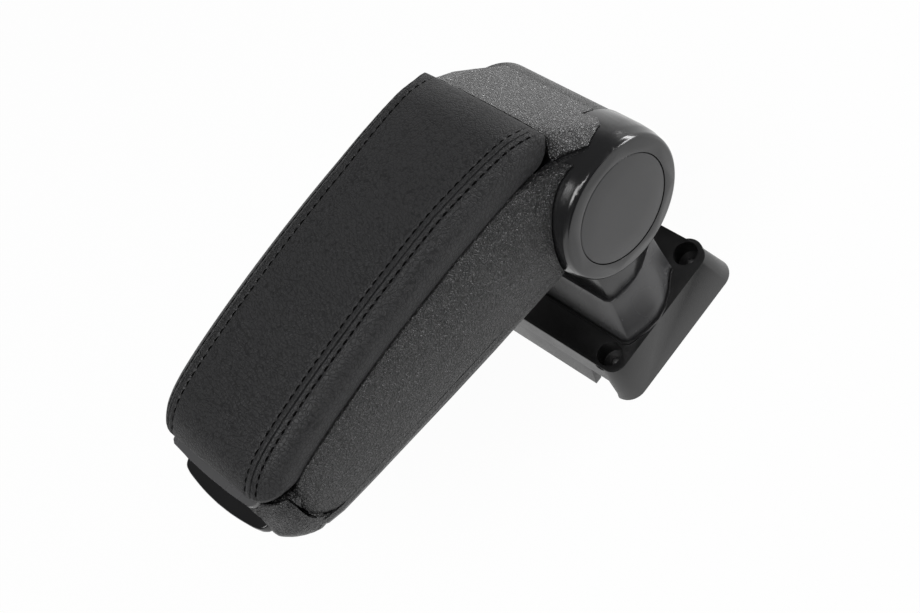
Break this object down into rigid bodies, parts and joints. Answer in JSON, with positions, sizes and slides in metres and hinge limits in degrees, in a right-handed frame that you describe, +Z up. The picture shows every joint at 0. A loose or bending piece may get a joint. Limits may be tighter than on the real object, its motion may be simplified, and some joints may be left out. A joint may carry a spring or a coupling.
{
  "type": "centre armrest",
  "caption": "Car centre armrest with a padded, double-stitched leatherette lid over a storage box, on a tilting hub with round caps and a screwed-down foot",
  "frame": {"origin": "centre of the four fixing holes, on the underside of the foot", "axes": "+X to the side with the pivot nut, -Y along the arm to the latch, +Z up"},
  "size_m": [0.164, 0.3106, 0.2112],
  "materials": {
    "foot_plastic": "lightly grained moulded plastic",
    "satin_plastic": "smooth satin moulded plastic",
    "disc_plastic": "fine satin moulded plastic",
    "grained_plastic": "leather-grained moulded plastic",
    "inner_plastic": "plain moulded plastic",
    "leatherette": "grained leatherette with double-stitched seams",
    "mat_rubber": "ribbed rubber",
    "black_steel": "black powder coat",
    "zinc_steel": "zinc plated",
    "friction_plastic": "fibre friction lining"
  },
  "bodies": {
    "stand": {"base_adapter": "foot_plastic", "mounting_plate": "black_steel", "plate_screws": "zinc_steel", "stand_bracket": "black_steel", "pedestal_cover": "satin_plastic", "neck_cover": "satin_plastic", "left_drum": "satin_plastic", "right_drum": "satin_plastic", "left_drum_disc": "disc_plastic", "right_drum_disc": "disc_plastic", "pivot_bolt": "zinc_steel", "pivot_nut": "zinc_steel", "spring_washers": "zinc_steel", "friction_discs": "friction_plastic", "stop_pin": "zinc_steel"},
    "arm": {"arm_bracket": "black_steel", "bracket_screws": "zinc_steel", "bin_shell": "grained_plastic", "rear_cover": "grained_plastic", "left_side_panel": "grained_plastic", "right_side_panel": "grained_plastic", "bin_tub": "inner_plastic", "bin_mat": "mat_rubber", "lid_bumpers": "mat_rubber", "hinge_bracket": "black_steel", "lid_hinge_pin": "zinc_steel", "latch_catch": "zinc_steel"},
    "lid": {"lid_frame": "inner_plastic", "lid_pad": "leatherette", "latch_pin": "zinc_steel"},
    "lever": {"latch_lever": "satin_plastic", "latch_spring": "zinc_steel"}
  },
  "joints": [
    {"name": "arm_tilt", "type": "hinge", "parent": "stand", "child": "arm", "pos_m": [0, 0.018, 0.125], "axis": [-1, 0, 0], "range_deg": [0, 95]},
    {"name": "lid_hinge", "type": "hinge", "parent": "arm", "child": "lid", "pos_m": [0, 0.022, 0.1765], "axis": [-1, 0, 0], "range_deg": [0, 60]},
    {"name": "latch", "type": "hinge", "parent": "lid", "child": "lever", "pos_m": [0, -0.22, 0.1825], "axis": [-1, 0, 0], "range_deg": [0, 12], "stiffness_Nm_per_rad": 0.1, "springref_deg": -17.19}
  ]
}
